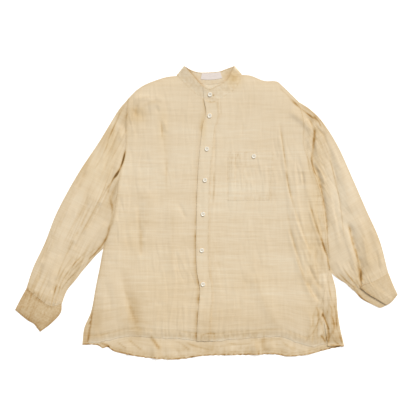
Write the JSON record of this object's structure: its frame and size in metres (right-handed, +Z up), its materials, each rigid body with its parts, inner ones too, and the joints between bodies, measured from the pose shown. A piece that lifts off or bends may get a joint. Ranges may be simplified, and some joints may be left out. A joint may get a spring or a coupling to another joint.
{
  "type": "band-collar shirt laid flat",
  "caption": "Loose long-sleeved shirt with a stand-up band collar, buttoned placket and chest pocket, laid flat with its front up.",
  "frame": {"origin": "on the surface the shirt lies on, under the middle of its back", "axes": "+X towards the wearer's left sleeve, +Y towards the collar, +Z up off the surface, out of the shirt's front"},
  "size_m": [0.992, 0.763, 0.0136],
  "materials": {
    "linen_gauze": "slubby plain-woven linen gauze, undyed beige, matt",
    "label_satin": "woven tape, off-white, blank",
    "pearl_button": "moulded, cream, soft gloss"
  },
  "bodies": {
    "root": {"back": "linen_gauze", "front_right": "linen_gauze", "front_left": "linen_gauze", "placket": "linen_gauze", "pocket": "linen_gauze", "sleeve_right": "linen_gauze", "sleeve_left": "linen_gauze", "cuff_right": "linen_gauze", "cuff_left": "linen_gauze", "collar": "linen_gauze", "neck_label": "label_satin", "button_collar": "pearl_button", "button_1": "pearl_button", "button_2": "pearl_button", "button_3": "pearl_button", "button_4": "pearl_button", "button_5": "pearl_button", "button_6": "pearl_button", "button_pocket": "pearl_button"}
  },
  "joints": []
}
